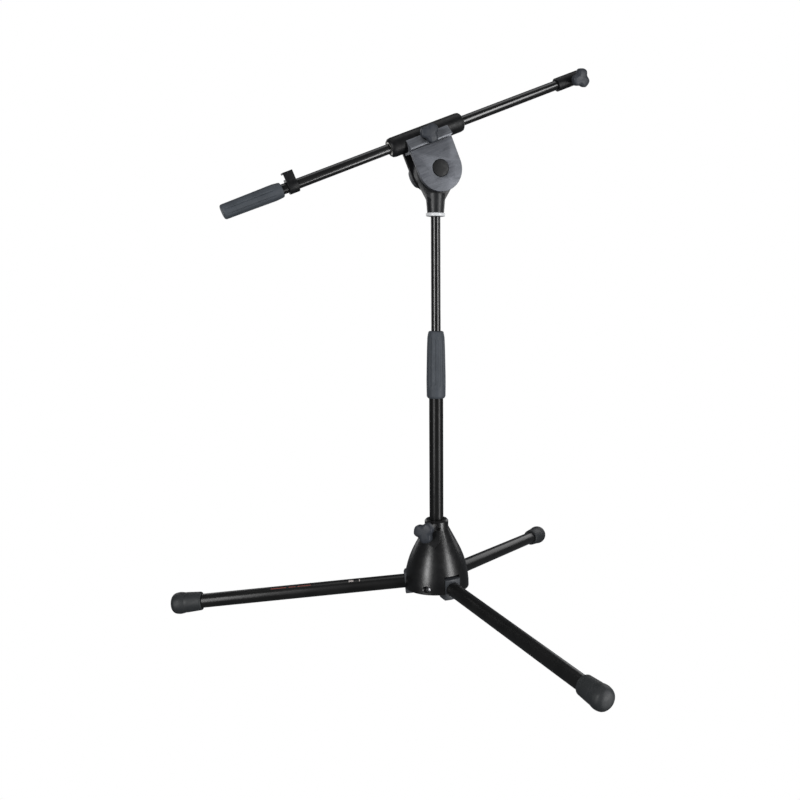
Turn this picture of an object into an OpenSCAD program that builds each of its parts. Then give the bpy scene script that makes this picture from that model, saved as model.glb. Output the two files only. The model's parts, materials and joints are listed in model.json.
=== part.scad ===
// Compact boom microphone stand: folding tripod base, sliding column, telescopic rod,
// tilting head with a sliding boom. Millimetres, +Z up, floor at Z = 0, column axis on Z.

/* [Overall] */
// Outside diameter of the leg tubes and of the lower column tube
tube_d = 18; // [16:0.1:20]
// Outside diameter of the upper rod and of the boom
rod_d = 12; // [10:0.1:14]
// Wall of the leg tubes and of the lower column tube
tube_wall = 1.2; // [1:0.1:2]
// Wall of the upper rod and of the boom
rod_wall = 1; // [0.8:0.1:2]
// Reach of each leg from its pivot to the tip of the foot cap
leg_reach = 315.4; // [240:1:420]
// Height of the head pivot above the floor
pivot_z = 565.7; // [480:1:680]
// Boom length to the left of the head pivot, to the end of the grip
boom_left = 259.5; // [200:1:320]
// Boom length to the right of the head pivot, to the end of the tip sleeve
boom_right = 231; // [180:1:300]

/* [Base] */
// Height above the floor at which the leg axes meet the column axis
leg_z = 43.1; // [36:0.1:60]
// Downward slope of the legs in degrees
leg_slope = 5.03; // [3:0.01:8]
// Distance of each leg pivot from the column axis
pivot_rho = 28; // [26:0.1:32]
// Radius of the bell at its rim
bell_r = 42.2; // [40:0.1:46]
// Height of the bell above the leg axes
bell_h = 70; // [64:0.5:80]
// Height of the collar on top of the bell
collar_h = 9.5; // [6:0.5:16]
// Wall of the bell
bell_wall = 4; // [3:0.5:5]
// Width of a leg block beyond the width of its tube
block_extra = 3; // [2:0.5:6]
// Clearance at each side of a leg block in its window
block_gap = 0.5; // [0.3:0.05:1]
// Radius of the leg pivot screws
pin_r = 2.5; // [2:0.05:3]
// Wall of the bush that the column slides in
bush_wall = 1.9; // [1.5:0.1:3]
// Length of a rubber foot cap
foot_len = 39; // [30:1:50]

/* [Column clutch] */
// Height of the top of the lower column tube above the floor
core_z = 330; // [300:1:345]
// Bottom of the clutch grip above the floor
grip_a = 281.1; // [260:0.1:300]
// Top of the clutch grip above the floor
grip_b = 366.7; // [362:0.1:380]
// Bottom end of the upper rod above the floor
rod_low = 225; // [200:1:260]

/* [Head] */
// Turn of the boom about the column, degrees
boom_az = 20; // [0:1:90]
// Tilt of the boom above level, degrees
boom_tilt = 22.7; // [-60:0.1:60]
// Distance from the head pivot to the boom axis
boom_h = 42.3; // [38:0.1:48]
// Radius of the rounded end of the cheek plates
cheek_r = 28.2; // [24:0.1:32]
// Distance from the head pivot down to the bottom of the socket
socket_drop = 52.6; // [50:0.1:60]
// Radius of the socket neck
neck_r = 12.3; // [11:0.1:14]
// Radius of the pivot bolt
bolt_r = 4; // [3:0.1:5]
// Length of the boom sleeve to the left of the head pivot
sleeve_left = 46.5; // [40:0.5:60]
// Length of the boom sleeve to the right of the head pivot
sleeve_right = 54; // [40:0.5:60]
// Radius of the boom sleeve
sleeve_r = 11.7; // [10.5:0.1:13]

/* [Boom ends] */
// Length of the grip at the left end
boom_grip_len = 73; // [50:1:90]
// Distance of the cable clip from the left end of the boom
clip_from_end = 86; // [80:1:120]
// Length of the sleeve at the threaded end
tip_len = 33.5; // [25:0.5:45]
// Outside radius of the microphone thread
stud_r = 4.76; // [4.76:0.01:7.94]
// Free length of the microphone thread
stud_len = 10.7; // [8:0.1:16]

/* [Clamp knobs] */
// Radius of the tilt knob
tilt_knob_r = 24; // [20:0.5:30]
// Radius of the three small clamp knobs
small_knob_r = 12.4; // [11:0.1:16]
// Radius of the hub and boom clamp screws
screw_r = 3; // [2.5:0.1:4]
// Radius of the tip clamp screw
tip_screw_r = 2.5; // [2:0.1:3]
// Turn of the hub knob about the column, degrees
hub_knob_az = -113.8; // [-130:0.1:-100]
// Height of the hub knob above the leg axes
hub_knob_h = 71; // [66:0.5:74]

/* [Fits] */
// Radial running clearance
fit = 0.05; // [0.02:0.01:0.1]
// Seating gap between parts of one body
seat = 0.3; // [0.1:0.05:0.5]

/* [Hidden] */
$fn = 72;
leg_az = [180, -60, 60];
tr = tube_d/2;
rr = rod_d/2;
pin_z = leg_z - pivot_rho*tan(leg_slope);
bell_low = leg_z - 9.5;
bell_top = leg_z + bell_h;
hub_top = bell_top + collar_h;
bush_r = tr + bush_wall;
guide_r = bush_r + 2.5;
collar_r = bush_r + 4.5;
block_w = tube_d + block_extra;
block_r = tr + 4;
arm_len = bell_r + 20;
// seat of the pivot screw heads, beside the leg
pin_seat = sqrt(bell_r*bell_r - pivot_rho*pivot_rho) - 4.6;
pin_end = block_w/2 + 3.5;
head_h = 2.6;
hub_knob_z = leg_z + hub_knob_h;
boss_r = screw_r + 5;
pad_in = tr + 0.35;
pad_out = pad_in + 0.85;
sock_z = pivot_z - socket_drop;
washer_h = 4.3;
washer_z = sock_z - washer_h;
neck_h = 23.4;
rod_socket = 12;
disc_r = 27;
disc_half = 8;
friction_r = 24;
front_in = -12.5;
front_out = -18.5;
rear_in = 10;
rear_out = 15;
saddle_z = boom_h - 10.7;
liner_r = rr + 2;
boom_knob_x = 1;
knob_face = -28;
tip_x = boom_right - 6.5;
tip_roll = 11;
clip_x = -boom_left + clip_from_end;

// ---------- helpers ----------
// radius of the bell: an arc near the rim, running on as a straight slope
bell_arc = 114;
bell_mid = 9.05;
bell_straight = 44.4;
function arc_r(h) = sqrt(bell_arc*bell_arc - pow(h + bell_mid, 2)) - bell_arc + bell_r;
function arc_slope(h) = (h + bell_mid)/sqrt(bell_arc*bell_arc - pow(h + bell_mid, 2));
function bell_x(z) = let (h = z - leg_z)
  h < bell_straight ? arc_r(h) : arc_r(bell_straight) - (h - bell_straight)*arc_slope(bell_straight);
function steps(a, b, n) = [for (i = [0:n]) a + (b - a)*i/n];

module rod_x(r, a, b) { translate([a,0,0]) rotate([0,90,0]) cylinder(r = r, h = b - a); }
module rod_y(r, a, b) { translate([0,a,0]) rotate([-90,0,0]) cylinder(r = r, h = b - a); }
module ring_z(ro, ri, a, b) {
  difference() {
    translate([0,0,a]) cylinder(r = ro, h = b - a);
    translate([0,0,a-1]) cylinder(r = ri, h = b - a + 2);
  }
}
module ring_x(ro, ri, a, b) {
  difference() {
    rod_x(ro, a, b);
    rod_x(ri, a - 1, b + 1);
  }
}
// plate across the Y axis, from a to b, with its outline in X and Z
module plate_y(a, b, outline) {
  translate([0,a,0]) rotate([90,0,0]) mirror([0,0,1]) linear_extrude(b - a) polygon(outline);
}
// turned about X, with its outline as distance along X and radius
module turned_x(outline) {
  rotate([0,90,0]) rotate_extrude() polygon([for (p = outline) [p[1], p[0]]]);
}
module turned_z(outline) { rotate_extrude() polygon([for (p = outline) [p[1], p[0]]]); }
// three-lobed knob on the Y axis, from a to b, one lobe at the angle turn
module lobes(r, w, a, b, turn) {
  intersection() {
    rod_y(r, a, b);
    union() {
      rod_y(r*0.62, a - 1, b + 1);
      for (k = [0:2]) rotate([0,-turn-120*k,0]) translate([0,a-1,-w/2]) cube([r+2, b-a+2, w]);
    }
  }
}
module at_leg(az) { at_pin(az) rotate([0,leg_slope,0]) children(); }
module at_pin(az) { rotate([0,0,az]) translate([pivot_rho,0,pin_z]) children(); }
module at_hub_knob() { rotate([0,0,hub_knob_az+90]) translate([0,0,hub_knob_z]) children(); }
module at_pivot() { translate([0,0,pivot_z]) rotate([0,0,boom_az]) children(); }
module at_bracket() { at_pivot() rotate([0,-boom_tilt,0]) children(); }
module at_boom() { at_bracket() translate([0,0,boom_h]) children(); }
module at_boom_knob() { at_boom() translate([boom_knob_x,0,0]) children(); }
module at_tip_knob() { at_boom() rotate([tip_roll,0,0]) translate([tip_x,0,0]) children(); }

// ---------- hub ----------
module bell_body(inset, za, zb, n) {
  wall_line = [for (z = steps(za, zb, n)) [bell_x(z) - inset, z]];
  rotate_extrude() polygon(concat([[0, za]], wall_line, [[0, zb]]));
}
// three arms that lie along the legs, as one prism
module arms(w, z, h) {
  translate([0,0,z]) linear_extrude(h) union() {
    for (az = leg_az) rotate(az) translate([0,-w/2]) square([arm_len, w]);
    circle(r = w*0.45, $fn = 12);
  }
}
// guide for the bush, walls beside each leg window, and the pivot screw bosses
module hub_ribs() {
  translate([0,0,leg_z+14.5]) cylinder(r = guide_r, h = 60);
  arms(block_w + 2*(block_gap + 3.6), leg_z - 15, 31.5);
  for (az = leg_az) at_pin(az) rod_y(pin_r + 3.5, -60, -block_w/2 - 3.5);
}
// pointed rib that carries the clamp boss down into the bell
module hub_wedge() {
  tip_z = leg_z + 47.6;
  half = 7;
  rotate([0,0,-96+90]) plate_y(-28.6, -14.6,
    [[-half,hub_knob_z], [half,hub_knob_z], [half,tip_z+8], [0,tip_z], [-half,tip_z+8]]);
}
module hub_bell() {
  chamfer = 2.2;
  color([0.07,0.07,0.075])
  difference() {
    union() {
      bell_body(0, bell_low, bell_top, 10);
      translate([0,0,bell_top-10]) cylinder(r = collar_r, h = hub_top - bell_top + 10 - chamfer);
      translate([0,0,hub_top-chamfer]) cylinder(r1 = collar_r, r2 = collar_r - 1.8, h = chamfer);
      at_hub_knob() rod_y(boss_r, -29.5, -9);
      hub_wedge();
    }
    // hollow inside
    difference() {
      bell_body(bell_wall, bell_low - 3.5, bell_top - 6, 8);
      hub_ribs();
    }
    // windows
    arms(block_w + 2*block_gap, leg_z - 20, 33);
    // centre bore
    translate([0,0,leg_z+11]) cylinder(r = bush_r + fit, h = hub_top - leg_z);
    translate([0,0,leg_z-30]) cylinder(r = tr + 1, h = 60);
    // pivot screw bores and counterbores
    for (az = leg_az) at_pin(az) {
      rod_y(pin_r + fit, -bell_r, 20);
      rod_y(pin_r + 1.7, -bell_r - 10, -pin_seat);
    }
    // knob screw bore
    at_hub_knob() rod_y(screw_r + fit, -40, -5);
  }
}
module hub_bush() {
  color([0.12,0.12,0.13])
  difference() {
    ring_z(bush_r, tr + fit, leg_z + 19, hub_top - 1.2);
    at_hub_knob() rod_y(screw_r + 1, -bush_r - 3, -tr + 3);
  }
}
module hub_clamp_pad() { color([0.75,0.62,0.3]) at_hub_knob() rod_y(screw_r + 0.6, -pad_out, -pad_in); }
module pivot_screw(az) {
  face = pin_seat + head_h;
  color([0.55,0.55,0.57]) at_pin(az)
  difference() {
    union() {
      rod_y(pin_r, -pin_seat - 1, pin_end);
      rod_y(pin_r + 1.25, -face, -pin_seat - fit);
    }
    // cross slot
    translate([-0.6,-face-1,-2.6]) cube([1.2,2,5.2]);
    translate([-2.6,-face-1,-0.6]) cube([5.2,2,1.2]);
  }
}
module pivot_screw_left() { pivot_screw(leg_az[0]); }
module pivot_screw_right() { pivot_screw(leg_az[1]); }
module pivot_screw_back() { pivot_screw(leg_az[2]); }
module hub_knob() {
  color([0.28,0.3,0.34]) at_hub_knob() difference() {
    union() {
      lobes(small_knob_r, 13, -42.5, -33, 168);
      rod_y(7, -34, -30);
    }
    rod_y(screw_r + fit, -40, -29);
  }
}
module hub_knob_screw() { color([0.6,0.6,0.62]) at_hub_knob() rod_y(screw_r, -39.7, -pad_out - seat); }

// ---------- legs ----------
module leg_block(az) {
  color([0.13,0.135,0.145]) at_leg(az)
  difference() {
    intersection() {
      union() {
        rod_y(block_r, -block_w/2, block_w/2);
        translate([0,-block_w/2,-block_r-1]) cube([18, block_w, 2*block_r+1]);
      }
      translate([-pivot_rho-0.1,0,-30]) cylinder(r = bell_r, h = 60);
    }
    rod_y(pin_r + fit, -block_w, block_w);
    rod_x(tr + fit, pin_r + 1.9, 30);
  }
}
module leg_tube(az) {
  color([0.05,0.05,0.055]) at_leg(az) ring_x(tr, tr - tube_wall, pin_r + 2.1, leg_reach - 9.3);
}
module foot_cap(az) {
  e = leg_reach;
  color([0.17,0.18,0.19]) at_leg(az)
  difference() {
    turned_x([[e-foot_len,0], [e-foot_len,tr+2.1], [e-foot_len+0.6,tr+2.8], [e-19,tr+4.1], [e-18,tr+3.6],
      [e-16,tr+4.5], [e-11,tr+5], [e-6.5,tr+4.6], [e-3,tr+3.3], [e-0.8,tr+0.6], [e,tr-2.5], [e,0]]);
    rod_x(tr + fit, e - foot_len - 6, e - 9);
  }
}
module leg_block_left() { leg_block(leg_az[0]); }
module leg_tube_left() { leg_tube(leg_az[0]); }
module foot_cap_left() { foot_cap(leg_az[0]); }
module leg_block_right() { leg_block(leg_az[1]); }
module leg_tube_right() { leg_tube(leg_az[1]); }
module foot_cap_right() { foot_cap(leg_az[1]); }
module leg_block_back() { leg_block(leg_az[2]); }
module leg_tube_back() { leg_tube(leg_az[2]); }
module foot_cap_back() { foot_cap(leg_az[2]); }

// ---------- column ----------
module column_tube() { color([0.05,0.05,0.055]) ring_z(tr, tr - tube_wall, leg_z - 5, core_z); }
module column_stop_ring() { color([0.12,0.12,0.13]) ring_z(tr + 2.6, tr + fit, leg_z - 4, leg_z + 2); }
module clutch_core() {
  color([0.6,0.6,0.62])
  difference() {
    union() {
      translate([0,0,core_z-12]) cylinder(r = tr - tube_wall - fit, h = 12.5);
      translate([0,0,core_z+seat]) cylinder(r = tr, h = 13.7);
    }
    translate([0,0,core_z-14]) cylinder(r = rr + seat, h = 30);
    // cone that squeezes the collet
    translate([0,0,core_z+7]) cylinder(r1 = rr + seat, r2 = rr + 1.9, h = 7.01);
  }
}
module clutch_grip() {
  a = grip_a;
  b = grip_b;
  color([0.2,0.21,0.23])
  difference() {
    turned_z([[a,0], [a,tr+1.4], [a+1.6,tr+2.8], [a+5,tr+3.3], [a+20,tr+3.2], [a+60,tr+2.6],
      [b-9,tr+2.2], [b-4,tr+1.9], [b-1,tr+0.9], [b,tr-0.8], [b,0]]);
    translate([0,0,a-1]) cylinder(r = tr + seat, h = core_z + 31 - a);
    translate([0,0,core_z+29.9]) cylinder(r1 = tr + seat, r2 = rr + seat, h = 3);
    translate([0,0,core_z]) cylinder(r = rr + seat, h = 60);
  }
}
module clutch_collet() {
  low = core_z + 10.3;
  slit = 0.8;
  color([0.8,0.8,0.78])
  difference() {
    union() {
      translate([0,0,low]) cylinder(r1 = rr + 0.75, r2 = rr + 2.2, h = 7);
      translate([0,0,low+7]) cylinder(r = rr + 2.2, h = 12);
    }
    translate([0,0,core_z]) cylinder(r = rr + fit, h = 50);
    for (k = [0:3]) rotate([0,0,45+90*k]) translate([rr-1,-slit/2,low-1]) cube([6,slit,12]);
  }
}

// ---------- rod and socket ----------
module upper_rod() { color([0.05,0.05,0.055]) ring_z(rr, rr - rod_wall, rod_low, sock_z + rod_socket); }
module rod_guide_plug() {
  color([0.8,0.8,0.78]) ring_z(tr - tube_wall - seat, rr + fit, rod_low + 1, rod_low + 11);
}
module rod_washer() {
  z = washer_z;
  r = rr + 6.1;
  color([0.92,0.92,0.92])
  difference() {
    turned_z([[z,0], [z,r-0.9], [z+0.9,r], [z+washer_h-1,r], [z+washer_h,r-0.9], [z+washer_h,0]]);
    translate([0,0,z-1]) cylinder(r = rr + fit, h = washer_h + 5);
  }
}
module head_socket() {
  flank = disc_r*cos(20);
  flank_z = -disc_r*sin(20);
  foot_x = 8.5;
  foot_z = 14 - socket_drop;
  color([0.12,0.125,0.13])
  difference() {
    union() {
      translate([0,0,sock_z]) cylinder(r1 = neck_r - 1.8, r2 = neck_r, h = neck_h - 1.5);
      translate([0,0,sock_z+neck_h-1.5]) cylinder(r = neck_r, h = 1.5);
      at_pivot() {
        rod_y(disc_r, -disc_half, disc_half);
        plate_y(-disc_half, disc_half,
          [[-foot_x,foot_z], [foot_x,foot_z], [flank,flank_z], [0,6], [-flank,flank_z]]);
      }
    }
    translate([0,0,sock_z-1]) cylinder(r = rr + fit, h = rod_socket + 2);
    at_pivot() rod_y(bolt_r + fit, -12, 12);
  }
}
module friction_disc(a, b) {
  color([0.06,0.06,0.06]) at_pivot() difference() {
    rod_y(friction_r, a, b);
    rod_y(bolt_r + seat, a - 2, b + 2);
  }
}
module friction_disc_front() { friction_disc(front_in + seat, -disc_half - seat); }
module friction_disc_rear() { friction_disc(disc_half + seat, rear_in - seat); }

// ---------- bracket ----------
module cheek(a, b) {
  difference() {
    union() {
      rod_y(cheek_r, a, b);
      translate([-cheek_r,a,0]) cube([2*cheek_r, b-a, saddle_z]);
    }
    rod_y(bolt_r + fit, a - 1, b + 1);
  }
}
module front_cheek_plate() {
  color([0.3,0.31,0.33]) at_bracket() difference() {
    cheek(front_out, front_in);
    rod_y(10.4, front_out - 1.5, -14.8);
  }
}
module rear_cheek_plate() { color([0.3,0.31,0.33]) at_bracket() cheek(rear_in, rear_out); }
module boom_saddle() {
  z = saddle_z + seat;
  low = saddle_z - 4;
  color([0.3,0.31,0.33]) at_bracket()
  difference() {
    translate([-27,0,0]) rotate([90,0,90]) linear_extrude(57.2)
      polygon([[front_in+seat,low], [rear_in-seat,low], [rear_in-seat,z], [rear_out,z], [rear_out,z+3.1],
        [12.4,boom_h+1.7], [-12.4,boom_h+1.7], [-18.3,z+2.3], [-18.3,z+1], [-17.6,z+1], [-17.6,z],
        [front_in+seat,z]]);
    translate([0,0,boom_h]) rod_x(sleeve_r + seat, -40, 60);
    translate([boom_knob_x,0,boom_h]) rod_y(boss_r + seat, -22, 0);
  }
}
module boom_sleeve() {
  a = -sleeve_left;
  b = sleeve_right;
  r = sleeve_r;
  color([0.06,0.06,0.065]) at_boom()
  difference() {
    union() {
      turned_x([[a,0], [a,r-2.3], [a+2,r-0.6], [a+5,r], [b-5,r], [b-1.6,r-0.6], [b,r-2.1], [b,0]]);
      translate([boom_knob_x,0,0]) rod_y(boss_r, -17.6, -4);
    }
    rod_x(liner_r + fit, a - 2, b + 2);
    translate([boom_knob_x,0,0]) rod_y(screw_r + fit, -20, 0);
  }
}
module pivot_bolt() {
  color([0.6,0.6,0.62]) at_bracket() union() {
    rod_y(bolt_r, -16, 28);
    rod_y(bolt_r + 3, -17.1, -15.1);
  }
}
module pivot_cap() { color([0.13,0.13,0.14]) at_bracket() rod_y(10.1, front_out - 0.5, -17.4); }

// ---------- knobs ----------
module tilt_knob() {
  color([0.28,0.3,0.34]) at_bracket() difference() {
    union() {
      lobes(tilt_knob_r, 24, 18.5, 32, 192);
      rod_y(bolt_r + 7, rear_out + 0.6, 19);
    }
    rod_y(bolt_r + 3 + fit, rear_out, 26.3);
    rod_y(bolt_r + seat, rear_out, 29);
  }
}
module tilt_knob_nut() {
  color([0.75,0.62,0.3]) at_bracket() difference() {
    rod_y(bolt_r + 3, rear_out + 0.6, 26);
    rod_y(bolt_r + fit, rear_out, 28);
  }
}
module boom_knob() {
  color([0.28,0.3,0.34]) at_boom_knob() difference() {
    union() {
      lobes(small_knob_r, 12.5, knob_face, -19.2, 180);
      rod_y(7, -19.6, -17.9);
    }
    rod_y(screw_r + fit, -25.3, -16);
  }
}
module boom_knob_screw() { color([0.6,0.6,0.62]) at_boom_knob() rod_y(screw_r, -25, -liner_r - 0.4); }

// ---------- boom ----------
module boom_liner() {
  color([0.8,0.8,0.78]) at_boom() ring_x(liner_r, rr + fit, -sleeve_left + 0.6, sleeve_right - 0.6);
}
module boom_tube() { color([0.05,0.05,0.055]) at_boom() ring_x(rr, rr - rod_wall, -boom_left + 5, boom_right - 10); }
module boom_grip() {
  a = -boom_left;
  b = a + boom_grip_len;
  color([0.2,0.21,0.23]) at_boom()
  difference() {
    turned_x([[a,0], [a,rr+2.2], [a+1,rr+2.9], [b-5,rr+3.6], [b-1.6,rr+3.2], [b,rr+1.6], [b,0]]);
    rod_x(rr + fit, a + 4.8, b + 7);
  }
}
module tip_sleeve() {
  e = boom_right;
  color([0.06,0.06,0.065]) at_boom() rotate([tip_roll,0,0])
  difference() {
    union() {
      rod_x(rr + 2.4, e - tip_len, e);
      translate([tip_x,0,0]) rod_y(tip_screw_r + 3.3, -11.5, 0);
    }
    rod_x(rr + fit, e - tip_len - 6, e - 9.7);
    rod_x(stud_r - 0.36 + fit, e - 9, e + 2);
    translate([tip_x,0,0]) rod_y(tip_screw_r + fit, -14, -2);
  }
}
module mic_thread_stud() {
  e = boom_right;
  color([0.7,0.7,0.72]) at_boom() union() {
    rod_x(stud_r - 0.36, e - 7.5, e + 1);
    rod_x(stud_r, e + seat, e + seat + stud_len);
  }
}
module cable_clip() {
  half = 6;
  color([0.08,0.08,0.085]) at_boom() translate([clip_x,0,0]) difference() {
    union() {
      rod_x(rr + 2.6, -half, half);
      translate([-half,-rr-0.5,0]) cube([2*half, 2*rr+1, rr+11]);
    }
    rod_x(rr + fit, -half - 2, half + 2);
    // slot for the cable
    translate([-half-2,-4.4,rr+3]) cube([2*half+4, 14, 5.9]);
  }
}
module tip_knob() {
  color([0.28,0.3,0.34]) at_tip_knob() difference() {
    union() {
      lobes(small_knob_r, 12.5, -22.5, -13.5, 95);
      rod_y(6, -14, -11.8);
    }
    rod_y(tip_screw_r + fit, -20, -11);
  }
}
module tip_knob_screw() { color([0.6,0.6,0.62]) at_tip_knob() rod_y(tip_screw_r, -19.6, -stud_r - seat); }

hub_bell();
hub_bush();
hub_clamp_pad();
pivot_screw_left();
pivot_screw_right();
pivot_screw_back();
hub_knob();
hub_knob_screw();
leg_block_left();
leg_tube_left();
foot_cap_left();
leg_block_right();
leg_tube_right();
foot_cap_right();
leg_block_back();
leg_tube_back();
foot_cap_back();
column_tube();
column_stop_ring();
clutch_core();
clutch_grip();
clutch_collet();
upper_rod();
rod_guide_plug();
rod_washer();
head_socket();
friction_disc_front();
friction_disc_rear();
front_cheek_plate();
rear_cheek_plate();
boom_saddle();
boom_sleeve();
pivot_bolt();
pivot_cap();
tilt_knob();
tilt_knob_nut();
boom_knob();
boom_knob_screw();
boom_liner();
boom_tube();
boom_grip();
tip_sleeve();
mic_thread_stud();
cable_clip();
tip_knob();
tip_knob_screw();
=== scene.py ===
"""Looks of a compact boom microphone stand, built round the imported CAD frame. Units: metres."""

import json
import math

import bmesh
import bpy
from mathutils import Matrix, Vector


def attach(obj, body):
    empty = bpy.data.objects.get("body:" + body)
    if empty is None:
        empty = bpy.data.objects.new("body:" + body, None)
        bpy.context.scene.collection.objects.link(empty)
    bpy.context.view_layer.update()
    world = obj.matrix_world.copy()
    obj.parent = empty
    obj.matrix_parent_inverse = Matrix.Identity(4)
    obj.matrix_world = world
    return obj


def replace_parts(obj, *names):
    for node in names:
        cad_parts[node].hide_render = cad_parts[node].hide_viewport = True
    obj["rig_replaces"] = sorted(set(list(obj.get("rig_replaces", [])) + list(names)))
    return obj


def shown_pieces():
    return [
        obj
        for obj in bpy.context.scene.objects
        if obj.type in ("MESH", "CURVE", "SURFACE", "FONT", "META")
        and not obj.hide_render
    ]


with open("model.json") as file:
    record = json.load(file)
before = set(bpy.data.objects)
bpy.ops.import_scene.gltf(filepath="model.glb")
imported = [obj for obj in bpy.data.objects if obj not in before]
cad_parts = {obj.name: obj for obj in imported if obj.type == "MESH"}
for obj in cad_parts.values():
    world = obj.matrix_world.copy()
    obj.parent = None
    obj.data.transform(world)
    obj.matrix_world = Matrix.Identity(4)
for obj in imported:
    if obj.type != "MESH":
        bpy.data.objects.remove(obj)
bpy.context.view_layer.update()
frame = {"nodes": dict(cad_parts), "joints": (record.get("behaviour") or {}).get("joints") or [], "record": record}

MM = 0.001
SHARP_ANGLE = math.radians(32)
SIDES = 96  # facets round a turned piece
COLUMN_R = 9  # mm, outer radius of the column and of the leg tubes
ROD_R = 6  # mm, outer radius of the upper rod and of the boom
THREAD_R = 4.76  # mm, 3/8 inch microphone thread
THREAD_PITCH = 1.5875  # mm, 16 threads to the inch

BODY_OF = {
    node: body
    for body, members in frame["record"]["behaviour"]["bodies"].items()
    for node in members
}
SLOT_OF = {row["node"]: row["material_slot"] for row in frame["record"]["subparts"]}
JOINT = {joint["name"]: joint for joint in frame["joints"]}


# ---------------------------------------------------------------- frames of reference
def place(origin, x_axis, y_axis):
    """A matrix whose X and Y follow the given directions, at origin."""
    x = Vector(x_axis).normalized()
    z = x.cross(Vector(y_axis)).normalized()
    y = z.cross(x)
    m = Matrix((x, y, z)).transposed().to_4x4()
    m.translation = Vector(origin)
    return m


BACK = Vector(JOINT["tilt_knob_turn"]["axis"])  # away from the front of the head
BOOM_DIR = Vector(JOINT["boom_roll"]["axis"])
HEAD = place(JOINT["boom_tilt"]["pos_m"], BOOM_DIR, BACK)
BOOM = place(JOINT["boom_roll"]["pos_m"], BOOM_DIR, BACK)
COLUMN = place((0, 0, 0), (0, 0, 1), (0, 1, 0))
LEG_SLOPE = math.radians(5.03)


def leg_place(side):
    """Origin at the leg's pivot, X along the leg, Y along the pivot screw."""
    joint = JOINT["leg_%s_fold" % side]
    y = Vector(joint["axis"])
    out = y.cross(Vector((0, 0, 1)))
    x = out * math.cos(LEG_SLOPE) - Vector((0, 0, 1)) * math.sin(LEG_SLOPE)
    return place(joint["pos_m"], x, y)


def span(node, m):
    """Lowest and highest place of a CAD node along the X of a frame of reference."""
    xs = [(m.inverted() @ v.co).x for v in frame["nodes"][node].data.vertices]
    return min(xs), max(xs)


# ---------------------------------------------------------------- materials
class Nodes:
    """Short names for building one node material."""

    def __init__(self, name):
        self.mat = bpy.data.materials.new(name)
        self.mat.use_nodes = True
        self.tree = self.mat.node_tree
        self.shader = self.tree.nodes["Principled BSDF"]
        self.coords = self.tree.nodes.new("ShaderNodeTexCoord")

    def add(self, kind, **values):
        node = self.tree.nodes.new(kind)
        for key, value in values.items():
            if hasattr(node, key):
                setattr(node, key, value)
            else:
                node.inputs[key.replace("_", " ")].default_value = value
        return node

    def link(self, a, b):
        self.tree.links.new(a, b)

    def noise(self, scale, detail=3.0, stretch=None, turn=None):
        tex = self.add("ShaderNodeTexNoise", Scale=scale, Detail=detail)
        source = self.coords.outputs["Object"]
        if turn is not None:
            mapping = self.add("ShaderNodeMapping")
            mapping.inputs["Rotation"].default_value = turn
            self.link(source, mapping.inputs["Vector"])
            source = mapping.outputs["Vector"]
        if stretch is not None:
            mapping = self.add("ShaderNodeMapping")
            mapping.inputs["Scale"].default_value = stretch
            self.link(source, mapping.inputs["Vector"])
            source = mapping.outputs["Vector"]
        self.link(source, tex.inputs["Vector"])
        return tex.outputs["Fac"]

    def ramp(self, fac, low, high, start=0.35, end=0.65):
        """Turns a 0 to 1 signal into a colour or a grey between low and high."""
        node = self.add("ShaderNodeValToRGB")
        ends = node.color_ramp.elements
        ends[0].position, ends[1].position = start, end
        ends[0].color = (*low, 1) if isinstance(low, tuple) else (low, low, low, 1)
        ends[1].color = (*high, 1) if isinstance(high, tuple) else (high, high, high, 1)
        self.link(fac, node.inputs["Fac"])
        return node.outputs["Color"]

    def bump(self, layers):
        """Stacks bump layers given as (signal, strength, depth in mm)."""
        normal = None
        for signal, strength, depth in layers:
            node = self.add("ShaderNodeBump", Strength=strength, Distance=depth * MM)
            self.link(signal, node.inputs["Height"])
            if normal is not None:
                self.link(normal, node.inputs["Normal"])
            normal = node.outputs["Normal"]
        self.link(normal, self.shader.inputs["Normal"])

    def edge_wear(self, base, worn, radius):
        """Lets the colour lighten along edges, where the coating thins."""
        bevel = self.add("ShaderNodeBevel", Radius=radius * MM)
        geometry = self.add("ShaderNodeNewGeometry")
        dot = self.add("ShaderNodeVectorMath", operation="DOT_PRODUCT")
        self.link(bevel.outputs["Normal"], dot.inputs[0])
        self.link(geometry.outputs["Normal"], dot.inputs[1])
        edge = self.ramp(dot.outputs["Value"], 1.0, 0.0, 0.80, 0.97)
        patchy = self.ramp(self.noise(900, 4), 0.0, 1.0, 0.45, 0.7)
        both = self.add("ShaderNodeMix", data_type="RGBA", blend_type="MULTIPLY")
        both.inputs["Factor"].default_value = 1.0
        self.link(edge, both.inputs[6])
        self.link(patchy, both.inputs[7])
        mix = self.add("ShaderNodeMix", data_type="RGBA")
        mix.inputs[7].default_value = (*worn, 1)
        self.link(both.outputs[2], mix.inputs["Factor"])
        self.link(base, mix.inputs[6])
        return mix.outputs[2]


def coated(name, low, high, rough, grain, depth, gleam=0.5):
    """A coated or moulded surface: slight colour drift, uneven gloss and a fine grain."""
    n = Nodes(name)
    colour = n.ramp(n.noise(60, 5), low, high)
    worn = tuple(min(1, c * 2.2 + 0.02) for c in high)
    n.link(n.edge_wear(colour, worn, 0.35), n.shader.inputs["Base Color"])
    n.link(n.ramp(n.noise(180, 6), rough[0], rough[1]), n.shader.inputs["Roughness"])
    n.bump([(n.noise(grain, 2), 0.35, depth), (n.noise(grain * 4, 2), 0.2, depth * 0.5)])
    n.shader.inputs["Specular IOR Level"].default_value = gleam
    return n.mat


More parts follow.
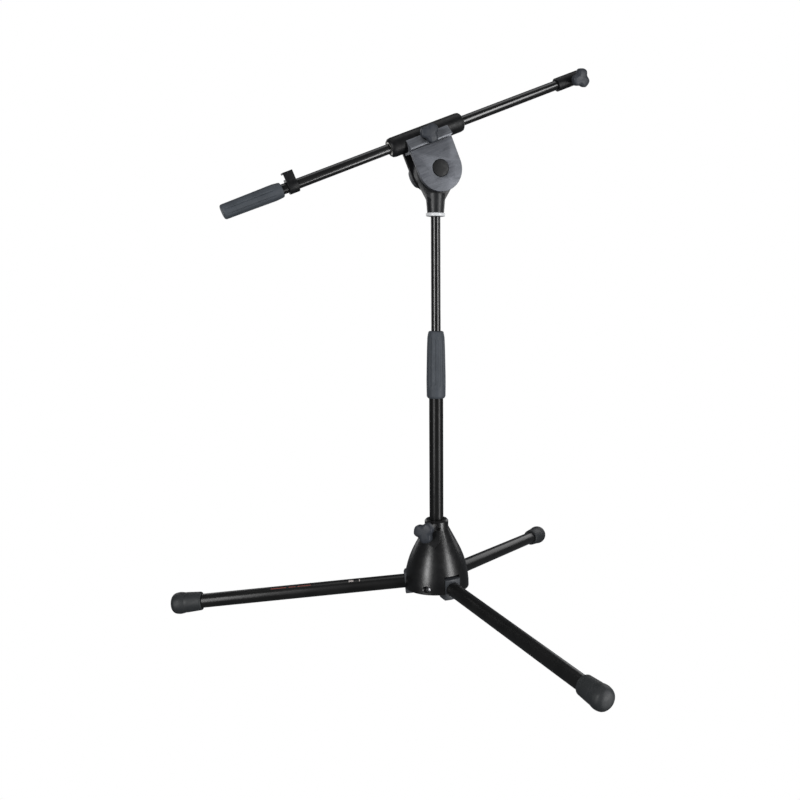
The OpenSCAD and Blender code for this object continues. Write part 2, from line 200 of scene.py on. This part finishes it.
def tube_coat(name, rough, gleam):
    """Smooth black coating of the tubes."""
    n = Nodes(name)
    n.link(n.ramp(n.noise(40, 4), 0.0055, 0.0085), n.shader.inputs["Base Color"])
    n.link(n.ramp(n.noise(30, 3), rough - 0.02, rough + 0.02), n.shader.inputs["Roughness"])
    n.shader.inputs["Specular IOR Level"].default_value = gleam
    return n.mat


def brushed(name, low, high):
    """Dark anodised plate with fine brush lines along the boom."""
    n = Nodes(name)
    m = HEAD.inverted().to_euler()
    turn = (m.x, m.y, m.z)
    lines = n.noise(1.0, 6, (60, 900, 900), turn)
    broad = n.noise(1.0, 3, (25, 160, 160), turn)
    fine = n.ramp(lines, low, high, 0.3, 0.7)
    drift = n.ramp(broad, 0.8, 1.0, 0.3, 0.7)
    both = n.add("ShaderNodeMix", data_type="RGBA", blend_type="MULTIPLY")
    both.inputs["Factor"].default_value = 1.0
    n.link(fine, both.inputs[6])
    n.link(drift, both.inputs[7])
    n.link(n.edge_wear(both.outputs[2], (0.42, 0.43, 0.45), 0.4), n.shader.inputs["Base Color"])
    n.link(n.ramp(lines, 0.38, 0.55), n.shader.inputs["Roughness"])
    n.shader.inputs["Metallic"].default_value = 0.55
    n.shader.inputs["Anisotropic"].default_value = 0.5
    n.bump([(lines, 0.25, 0.03)])
    return n.mat


def metal(name, low, high, rough):
    """Bare metal with slightly uneven colour and gloss."""
    grain = 300
    n = Nodes(name)
    n.link(n.ramp(n.noise(grain, 4), low, high), n.shader.inputs["Base Color"])
    n.link(n.ramp(n.noise(grain * 2, 3), rough - 0.06, rough + 0.08), n.shader.inputs["Roughness"])
    n.shader.inputs["Metallic"].default_value = 1.0
    n.bump([(n.noise(grain * 3, 2), 0.2, 0.02)])
    return n.mat


MATERIAL = {
    "cast_black": coated(
        "cast_black", (0.003, 0.003, 0.003), (0.0045, 0.0045, 0.005), (0.29, 0.35), 1500, 0.02
    ),
    "tube_black": tube_coat("tube_gloss", 0.22, 0.5),
    "cheek_grey": brushed("cheek_grey", (0.056, 0.06, 0.07), (0.112, 0.118, 0.133)),
    "socket_black": coated(
        "socket_black", (0.007, 0.0075, 0.0083), (0.0095, 0.01, 0.011), (0.36, 0.46), 1600, 0.03, 0.35
    ),
    "plastic_black": coated(
        "plastic_black", (0.004, 0.0042, 0.0046), (0.006, 0.0062, 0.0068), (0.4, 0.52), 1800, 0.04, 0.22
    ),
    "plastic_slate": coated(
        "plastic_slate", (0.024, 0.027, 0.033), (0.031, 0.0345, 0.042), (0.44, 0.55), 1500, 0.05, 0.3
    ),
    "plastic_natural": coated(
        "plastic_natural", (0.52, 0.51, 0.47), (0.6, 0.59, 0.55), (0.4, 0.5), 900, 0.02
    ),
    "washer_white": coated(
        "washer_white", (0.58, 0.59, 0.6), (0.66, 0.67, 0.68), (0.32, 0.42), 900, 0.02
    ),
    "grip_rubber": coated(
        "grip_rubber", (0.034, 0.040, 0.048), (0.046, 0.053, 0.063), (0.56, 0.68), 1300, 0.06, 0.35
    ),
    "foot_rubber": coated(
        "foot_rubber", (0.013, 0.015, 0.016), (0.019, 0.021, 0.023), (0.5, 0.62), 1200, 0.05, 0.4
    ),
    "steel": metal("steel", (0.22, 0.22, 0.23), (0.33, 0.33, 0.34), 0.45),
    "brass": metal("brass", (0.55, 0.42, 0.18), (0.68, 0.53, 0.25), 0.3),
}
TUBE_SATIN = tube_coat("tube_satin", 0.3, 0.3)
COLUMN_SATIN = tube_coat("column_satin", 0.3, 0.18)
# Lighter copy of the brushed plate look for the saddle: partly its own grey, partly painted sheen for the light
# falling on its upward-facing face.
SADDLE_GREY_AND_SHEEN = brushed("saddle_grey_and_sheen", (0.13, 0.137, 0.152), (0.21, 0.22, 0.24))
BLOCK_GREY = coated(
    "block_grey", (0.03, 0.033, 0.038), (0.042, 0.046, 0.052), (0.42, 0.52), 1700, 0.04, 0.4
)


# ---------------------------------------------------------------- mesh tools
def piece(name, verts, faces, m, node=None, body=None, slot=None):
    """A new smooth-shaded piece that rides on its body and stands for a CAD node."""
    mesh = bpy.data.meshes.new(name)
    mesh.from_pydata([m @ Vector(v) for v in verts], [], faces)
    mesh.update()
    obj = bpy.data.objects.new(name, mesh)
    bpy.context.collection.objects.link(obj)
    return settle(obj, node, body, slot)


def settle(obj, node=None, body=None, slot=None):
    """Cleans the mesh, shades it, and declares its body, slot and replaced node."""
    bm = bmesh.new()
    bm.from_mesh(obj.data)
    bmesh.ops.remove_doubles(bm, verts=bm.verts, dist=2e-7)
    bmesh.ops.recalc_face_normals(bm, faces=bm.faces)
    bm.to_mesh(obj.data)
    bm.free()
    obj.data.shade_smooth()
    obj.data.set_sharp_from_angle(angle=SHARP_ANGLE)
    slot = slot or SLOT_OF[node]
    obj.data.materials.clear()
    obj.data.materials.append(MATERIAL[slot])
    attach(obj, body or BODY_OF[node])
    if node:
        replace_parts(obj, node)
    return obj


def refined(node, bevel=0.4, segments=3, reshape=None):
    """The CAD node's own shape with welded, rounded edges and smooth shading."""
    mesh = frame["nodes"][node].data.copy()
    if "custom_normal" in mesh.attributes:
        mesh.attributes.remove(mesh.attributes["custom_normal"])
    obj = bpy.data.objects.new(node + "_finished", mesh)
    bpy.context.collection.objects.link(obj)
    bm = bmesh.new()
    bm.from_mesh(mesh)
    bmesh.ops.remove_doubles(bm, verts=bm.verts, dist=1e-6)
    bmesh.ops.dissolve_limit(bm, angle_limit=math.radians(0.6), verts=bm.verts, edges=bm.edges)
    if reshape:
        for vert in bm.verts:
            vert.co = reshape(vert.co)
    bm.to_mesh(mesh)
    bm.free()
    if bevel:
        mod = obj.modifiers.new("rounding", "BEVEL")
        mod.width = bevel * MM
        mod.segments = segments
        mod.limit_method = "ANGLE"
        mod.angle_limit = SHARP_ANGLE
        mod.use_clamp_overlap = True
        bpy.context.view_layer.update()
        graph = bpy.context.evaluated_depsgraph_get()
        rounded = bpy.data.meshes.new_from_object(obj.evaluated_get(graph))
        obj.modifiers.clear()
        obj.data = rounded
    return settle(obj, node)


def rounded_outline(points):
    """Fillets an outline of (x, r, fillet) points with short arcs. Returns (x, r) pairs."""
    out = []
    for i, (x, r, fillet) in enumerate(points):
        here = Vector((x, r))
        if fillet <= 0 or i in (0, len(points) - 1):
            out.append((x, r))
            continue
        before = Vector(points[i - 1][:2]) - here
        after = Vector(points[i + 1][:2]) - here
        cut = min(fillet, before.length * 0.48, after.length * 0.48)
        a = here + before.normalized() * cut
        b = here + after.normalized() * cut
        steps = 6
        for k in range(steps + 1):
            t = k / steps
            out.append(tuple(a * (1 - t) ** 2 + here * 2 * t * (1 - t) + b * t * t))
    return out


def bridged(rings, sides):
    """Faces between neighbouring rings, where a ring of one vertex is a tip."""
    faces = []
    for a, b in zip(rings, rings[1:]):
        for k in range(sides):
            quad = [a[k % len(a)], a[(k + 1) % len(a)], b[(k + 1) % len(b)], b[k % len(b)]]
            quad = list(dict.fromkeys(quad))
            if len(quad) > 2:
                faces.append(quad)
    return faces


def turned(name, outline, m, relief=None, sides=SIDES, **facts):
    """A turned piece round X. outline is (x, r) in mm; relief(x, angle) is cut away, in mm."""
    rings, verts = [], []
    for x, r in outline:
        ring = []
        for k in range(sides):
            angle = 2 * math.pi * k / sides
            radius = r - (relief(x, angle) if relief and r > 0 else 0)
            ring.append(len(verts))
            verts.append((x * MM, radius * MM * math.cos(angle), radius * MM * math.sin(angle)))
            if r == 0:
                break
        rings.append(ring)
    return piece(name, verts, bridged(rings, sides), m, **facts)


def fine_outline(outline, step):
    """Adds points so that no stretch of an outline is longer than step, in mm."""
    out = [outline[0]]
    for (xa, ra), (xb, rb) in zip(outline, outline[1:]):
        count = max(1, math.ceil(math.hypot(xb - xa, rb - ra) / step))
        out += [(xa + (xb - xa) * k / count, ra + (rb - ra) * k / count) for k in range(1, count + 1)]
    return out


def smooth(t):
    """Eases from 0 to 1 as t goes from 0 to 1."""
    t = max(0.0, min(1.0, t))
    return t * t * (3 - 2 * t)


# ---------------------------------------------------------------- pieces
def knob(node, m, radius, inner, thickness, turn, boss_r, boss_h, crown=0.9):
    """Three-lobed clamp knob. X points out of its face, at the face's plane."""
    sides = 180
    lobe = 2 * math.pi / 3
    angles = [2 * math.pi * k / sides for k in range(sides)]

    def outline(angle, shrink):
        phi = (angle - turn + lobe / 2) % lobe - lobe / 2
        side = smooth((math.radians(58) - abs(phi)) / math.radians(40))
        return inner + (radius - inner) * side - shrink

    verts, rings = [(crown * MM, 0, 0)], [[0]]

    def ring(x, radii):
        start = len(verts)
        for a, r in zip(angles, radii):
            verts.append((x * MM, r * MM * math.cos(a), r * MM * math.sin(a)))
        rings.append(list(range(start, start + sides)))

    ring(crown, [0.55 * inner] * sides)
    dome = crown * 0.86
    ring(dome * 0.8, [max(0.62 * outline(a, 0), 0.58 * inner) for a in angles])
    ring(dome * 0.35, [0.82 * outline(a, 1.0) for a in angles])
    for x, shrink in (
        (0.0, 2.2), (-0.35, 1.25), (-0.95, 0.45), (-1.9, 0.05), (-thickness * 0.5, 0.0),
        (-thickness + 1.4, 0.15), (-thickness + 0.5, 0.6), (-thickness, 1.4),
    ):
        ring(x, [outline(a, shrink) for a in angles])
    ring(-thickness, [boss_r] * sides)
    ring(-thickness - boss_h + 0.4, [boss_r] * sides)
    ring(-thickness - boss_h, [boss_r - 0.4] * sides)
    verts.append(((-thickness - boss_h) * MM, 0, 0))
    rings.append([len(verts) - 1])
    return piece(node + "_finished", verts, bridged(rings, sides), m, node=node)


def knob_place(joint, node):
    """X out of the knob's face, with its origin at the CAD knob's outermost point; Z upward."""
    axis = Vector(JOINT[joint]["axis"])
    pos = Vector(JOINT[joint]["pos_m"])
    far = max((v.co - pos).dot(axis) for v in frame["nodes"][node].data.vertices)
    up = Vector((0, 0, 1)) if abs(axis.z) < 0.9 else Vector((1, 0, 0))
    return place(pos + axis * far, axis, up.cross(axis))


def knobs():
    """The four clamp knobs."""
    hub = knob_place("hub_knob_turn", "hub_knob")
    knob("hub_knob", hub, 13.6, 9.8, 9.5, math.radians(48), 7, 2.8)
    boom = knob_place("boom_knob_turn", "boom_knob")
    knob("boom_knob", boom, 11.9, 8.4, 8.8, math.radians(58), 7, 1.0)
    tip = knob_place("tip_knob_turn", "tip_knob")
    knob("tip_knob", tip, 12.2, 8.8, 9.0, math.radians(-33), 6, 1.6)
    tilt = knob_place("tilt_knob_turn", "tilt_knob")
    knob("tilt_knob", tilt, 25.5, 19.5, 13.5, math.radians(-28), 11, 2.5, 1.6)


def fluted(node, m, outline, start, end, count, depth, width, phase=0.0):
    """A rubber grip with long shallow grooves that fade out at both ends."""

    def relief(x, angle):
        fade = smooth((x - start) / 3.0) * smooth((end - x) / 3.0)
        turn = (angle + phase) * count / (2 * math.pi)
        off = abs(turn - round(turn)) * 2
        return depth * fade * smooth((width - off) / (width * 0.75))

    dense = fine_outline(rounded_outline(outline), 1.6)
    return turned(node + "_finished", dense, m, relief, 240, node=node)


def grips():
    """The clutch grip and the boom's end grip."""
    low, high = span("clutch_grip", COLUMN)
    a, b = low / MM, high / MM
    outline = [
        (a, 0, 0), (a, 9.3, 0), (a, 10.4, 1.2), (a + 2.2, 12.0, 3.0), (a + 22, 12.3, 8),
        (a + 60, 11.6, 8), (b - 7, 10.9, 4), (b - 0.4, 9.4, 2.4), (b, 6.5, 0.6), (b, 0, 0),
    ]
    fluted("clutch_grip", COLUMN, outline, a + 15, b - 7, 12, 0.75, 0.62, 0.13)
    low, high = span("boom_grip", BOOM)
    a, b = low / MM, high / MM
    outline = [
        (a, 0, 0), (a, 7.6, 1.0), (a + 1.6, 8.7, 1.4), (a + 40, 9.2, 8), (a + 64, 9.6, 4),
        (b - 0.3, 8.6, 3.0), (b, 6.2, 0.8), (b, 0, 0),
    ]
    fluted("boom_grip", BOOM, outline, a + 4, b - 10, 8, 0.8, 0.34, 0.3)


def foot(side):
    """Rubber cap: a tapered sleeve that swells into a rounded toe."""
    node = "foot_cap_" + side
    m = leg_place(side)
    low, high = span(node, m)
    a, b = low / MM, high / MM
    outline = [
        (a + 3, 0, 0), (a + 3, 9.02, 0.3), (a, 9.1, 0.3), (a, 10.9, 1.0), (a + 1.2, 11.8, 1.2),
        (a + 19, 12.95, 1.0), (a + 20.6, 12.75, 1.2), (a + 23, 13.35, 3.0), (b - 11, 14.1, 6.0),
        (b - 4.5, 12.9, 4.0), (b - 0.9, 9.0, 3.0), (b, 4.2, 2.0), (b + 0.02, 0, 0),
    ]

    def mould_line(x, angle):
        near = abs((angle - math.pi / 2 + math.pi / 2) % math.pi - math.pi / 2)
        return -0.07 * smooth(1 - near / 0.035)

    dense = fine_outline(rounded_outline(outline), 1.2)
    turned(node + "_finished", dense, m, mould_line, 180, node=node)


def thread(node, m, radius, pitch):
    """A real screw thread on the free end of the boom."""
    depth = 0.75
    low, high = span(node, m)
    a, b = low / MM, high / MM
    outline = [(a, 0), (a, radius - depth)]
    steps = 12
    count = int((b - a - 1.2) / pitch * steps)
    outline += [(a + 0.2 + k * pitch / steps, radius) for k in range(count)]
    outline += [(b - 0.8, radius), (b, radius - 0.9), (b, 0)]

    def groove(x, angle):
        if x < a + 0.15 or x > b - 0.7:
            return 0
        turn = (x / pitch - angle / (2 * math.pi)) % 1.0
        return depth * (1 - abs(2 * turn - 1))

    turned(node + "_finished", outline, m, groove, 72, node=node)


def tube(node, m, radius, look):
    """A straight coated tube with slightly rounded ends."""
    low, high = span(node, m)
    a, b = low / MM, high / MM
    outline = [(a, 0, 0), (a, radius, 0.4), (b, radius, 0.4), (b, 0, 0)]
    obj = turned(node + "_finished", rounded_outline(outline), m, node=node)
    obj.data.materials[0] = look


def printed_bar(name, m, look, start, length, height):
    """A thin plain bar printed on the left leg, turned from the top towards the front."""
    angle = math.radians(28)
    cols, rows, lift, sink = 8, 4, 0.04, 0.1
    verts, faces = [], []
    for radius in (COLUMN_R + lift, COLUMN_R - sink):
        for i in range(cols + 1):
            for j in range(rows + 1):
                t = angle + height / COLUMN_R * (j / rows - 0.5)
                x = start + length * i / cols
                verts.append((x * MM, radius * MM * math.sin(t), radius * MM * math.cos(t)))
    wide, layer = rows + 1, (rows + 1) * (cols + 1)
    for i in range(cols):
        for j in range(rows):
            k = i * wide + j
            quad = [k, k + 1, k + wide + 1, k + wide]
            faces += [quad, [v + layer for v in reversed(quad)]]
    rim = [i * wide for i in range(cols + 1)] + [cols * wide + j for j in range(1, wide)]
    rim += [i * wide + rows for i in range(cols - 1, -1, -1)] + list(range(rows - 1, 0, -1))
    for a, b in zip(rim, rim[1:] + rim[:1]):
        faces.append([a, b, b + layer, a + layer])
    obj = piece(name, verts, faces, m, body="leg_left", slot="washer_white")
    obj.data.materials[0] = look


def leg_marks():
    """Plain bars where the real leg carries printing."""
    m = leg_place("left")
    red = coated("print_red", (0.16, 0.04, 0.03), (0.2, 0.055, 0.04), (0.4, 0.5), 900, 0.01)
    pale = coated("print_pale", (0.4, 0.36, 0.34), (0.46, 0.42, 0.4), (0.4, 0.5), 900, 0.01)
    for name, look, start, length, height in (
        ("leg_mark_long", red, 135, 17, 1.2),
        ("leg_mark_middle", red, 155, 9, 1.2),
        ("leg_mark_end", red, 167, 20, 1.2),
        ("leg_mark_pale", pale, 80, 6, 2.6),
        ("leg_mark_tick", pale, 71.4, 1.2, 3.2),
    ):
        printed_bar(name, m, look, start, length, height)


def lowered_top(co):
    """Widens the dark gap between the front plate and the saddle above it."""
    top_edge, gap = 31 * MM, 0.8 * MM
    local = HEAD.inverted() @ co
    if local.z > top_edge:
        local.z -= gap
    return HEAD @ local


def legs():
    """The three folding legs with their feet, hinge blocks and pivot screws."""
    for side in ("left", "right", "back"):
        tube("leg_tube_" + side, leg_place(side), COLUMN_R, TUBE_SATIN)
        foot(side)
        block = refined("leg_block_" + side, 1.6)
        block.data.materials[0] = BLOCK_GREY
        refined("pivot_screw_" + side, 0.25)


def tubes():
    """The column, the upper rod and the boom."""
    tube("column_tube", COLUMN, COLUMN_R, COLUMN_SATIN)
    tube("upper_rod", COLUMN, ROD_R, MATERIAL["tube_black"])
    tube("boom_tube", BOOM, ROD_R, MATERIAL["tube_black"])


legs()
leg_marks()
tubes()
grips()
knobs()
thread("mic_thread_stud", BOOM, THREAD_R, THREAD_PITCH)
refined("hub_bell", 0.7)
refined("head_socket", 0.6)
refined("front_cheek_plate", 0.55, reshape=lowered_top)
# The rear cheek plate takes the near-black plastic in place of its own look: painted shade for the plate that sits
# in shadow behind the front plate.
refined("rear_cheek_plate", 0.55).data.materials[0] = MATERIAL["plastic_black"]
# The saddle takes the lighter brushed look, which carries painted sheen on its upward-facing face.
refined("boom_saddle", 0.35).data.materials[0] = SADDLE_GREY_AND_SHEEN
refined("boom_sleeve", 0.5)
refined("tip_sleeve", 0.5)
refined("cable_clip", 0.4)
refined("rod_washer", 0.3)
refined("pivot_cap", 0.3)

# The CAD nodes left in view take the same looks as the new pieces.
replaced = {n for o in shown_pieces() for n in o.get("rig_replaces", [])}
for name, obj in frame["nodes"].items():
    if name not in replaced:
        obj.data.materials.clear()
        obj.data.materials.append(MATERIAL[SLOT_OF[name]])


# ---------------------------------------------------------------- room
def studio():
    """A plain pale floor and a white room, which the object hardly reflects."""
    n = Nodes("studio_floor")
    n.shader.inputs["Base Color"].default_value = (0, 0, 0, 1)
    n.shader.inputs["Specular IOR Level"].default_value = 0
    n.shader.inputs["Emission Color"].default_value = (1, 1, 1, 1)
    n.shader.inputs["Emission Strength"].default_value = 1.0
    half = 30
    mesh = bpy.data.meshes.new("studio_floor")
    corners = [(-half, -half, 0), (half, -half, 0), (half, half, 0), (-half, half, 0)]
    mesh.from_pydata(corners, [], [(0, 1, 2, 3)])
    mesh.materials.append(n.mat)
    floor = bpy.data.objects.new("studio_floor", mesh)
    bpy.context.collection.objects.link(floor)
    floor.visible_glossy = False
    floor.visible_diffuse = False
    floor.visible_shadow = False

    world = bpy.data.worlds.new("studio")
    bpy.context.scene.world = world
    world.use_nodes = True
    tree = world.node_tree
    tree.nodes.clear()
    out = tree.nodes.new("ShaderNodeOutputWorld")
    mix = tree.nodes.new("ShaderNodeMixShader")
    seen = tree.nodes.new("ShaderNodeBackground")
    seen.inputs["Color"].default_value = (1, 1, 1, 1)
    seen.inputs["Strength"].default_value = 1.0
    felt = tree.nodes.new("ShaderNodeBackground")
    felt.inputs["Color"].default_value = (0.9, 0.94, 1.0, 1)
    felt.inputs["Strength"].default_value = 0.1
    path = tree.nodes.new("ShaderNodeLightPath")
    tree.links.new(path.outputs["Is Camera Ray"], mix.inputs["Fac"])
    tree.links.new(felt.outputs[0], mix.inputs[1])
    tree.links.new(seen.outputs[0], mix.inputs[2])
    tree.links.new(mix.outputs[0], out.inputs["Surface"])


def softbox(name, azimuth, distance, low, high, width, power):
    """An upright softbox. Azimuth 0 is straight in front (-Y), positive to the right."""
    a = math.radians(azimuth)
    centre = Vector((math.sin(a) * distance, -math.cos(a) * distance, (low + high) / 2))
    light = bpy.data.lights.new(name, "AREA")
    light.shape = "RECTANGLE"
    light.size = width
    light.size_y = high - low
    light.energy = power
    obj = bpy.data.objects.new(name, light)
    bpy.context.collection.objects.link(obj)
    obj.location = centre
    facing = Vector((0, 0, centre.z)) - centre
    obj.rotation_mode = "QUATERNION"
    obj.rotation_quaternion = facing.to_track_quat("-Z", "Y")


def lights():
    """Two tall strips in front, a weak overhead panel and two panels behind."""
    softbox("strip_right", 54, 1.7, -0.8, 1.1, 0.44, 33)
    softbox("strip_left", -36, 1.7, -0.2, 1.1, 0.44, 24)
    top = bpy.data.lights.new("overhead", "AREA")
    top.shape = "RECTANGLE"
    top.size, top.size_y = 1.6, 1.2
    top.energy = 9
    obj = bpy.data.objects.new("overhead", top)
    bpy.context.collection.objects.link(obj)
    obj.location = (0, 0.1, 2.4)
    softbox("back_right", 140, 2.0, 0.3, 2.0, 1.3, 12)
    softbox("back_left", -142, 2.0, 0.1, 1.6, 0.9, 6)


def camera():
    """The product picture's viewing angle: above the base, looking a little down."""
    pitch, yaw, roll = (math.radians(v) for v in (-7.811, 3.681, 0.337))
    place_m = Vector((0, -1.1172, 0.4304))
    level_part = math.cos(pitch)
    forward = Vector((math.sin(yaw) * level_part, math.cos(yaw) * level_part, math.sin(pitch)))
    level = Vector((math.cos(yaw), -math.sin(yaw), 0))
    upright = level.cross(forward)
    right = level * math.cos(roll) + upright * math.sin(roll)
    up = upright * math.cos(roll) - level * math.sin(roll)
    data = bpy.data.cameras.new("camera")
    data.sensor_width = 36
    data.lens = 39.582
    data.shift_x = -0.11525
    data.shift_y = 0.001375
    data.clip_start, data.clip_end = 0.01, 100
    obj = bpy.data.objects.new("camera", data)
    bpy.context.collection.objects.link(obj)
    m = Matrix((right, up, -forward)).transposed().to_4x4()
    m.translation = place_m
    obj.matrix_world = m
    bpy.context.scene.camera = obj


studio()
lights()
camera()
bpy.context.scene.view_settings.view_transform = "Standard"
bpy.context.scene.view_settings.look = "None"

bpy.context.view_layer.update()
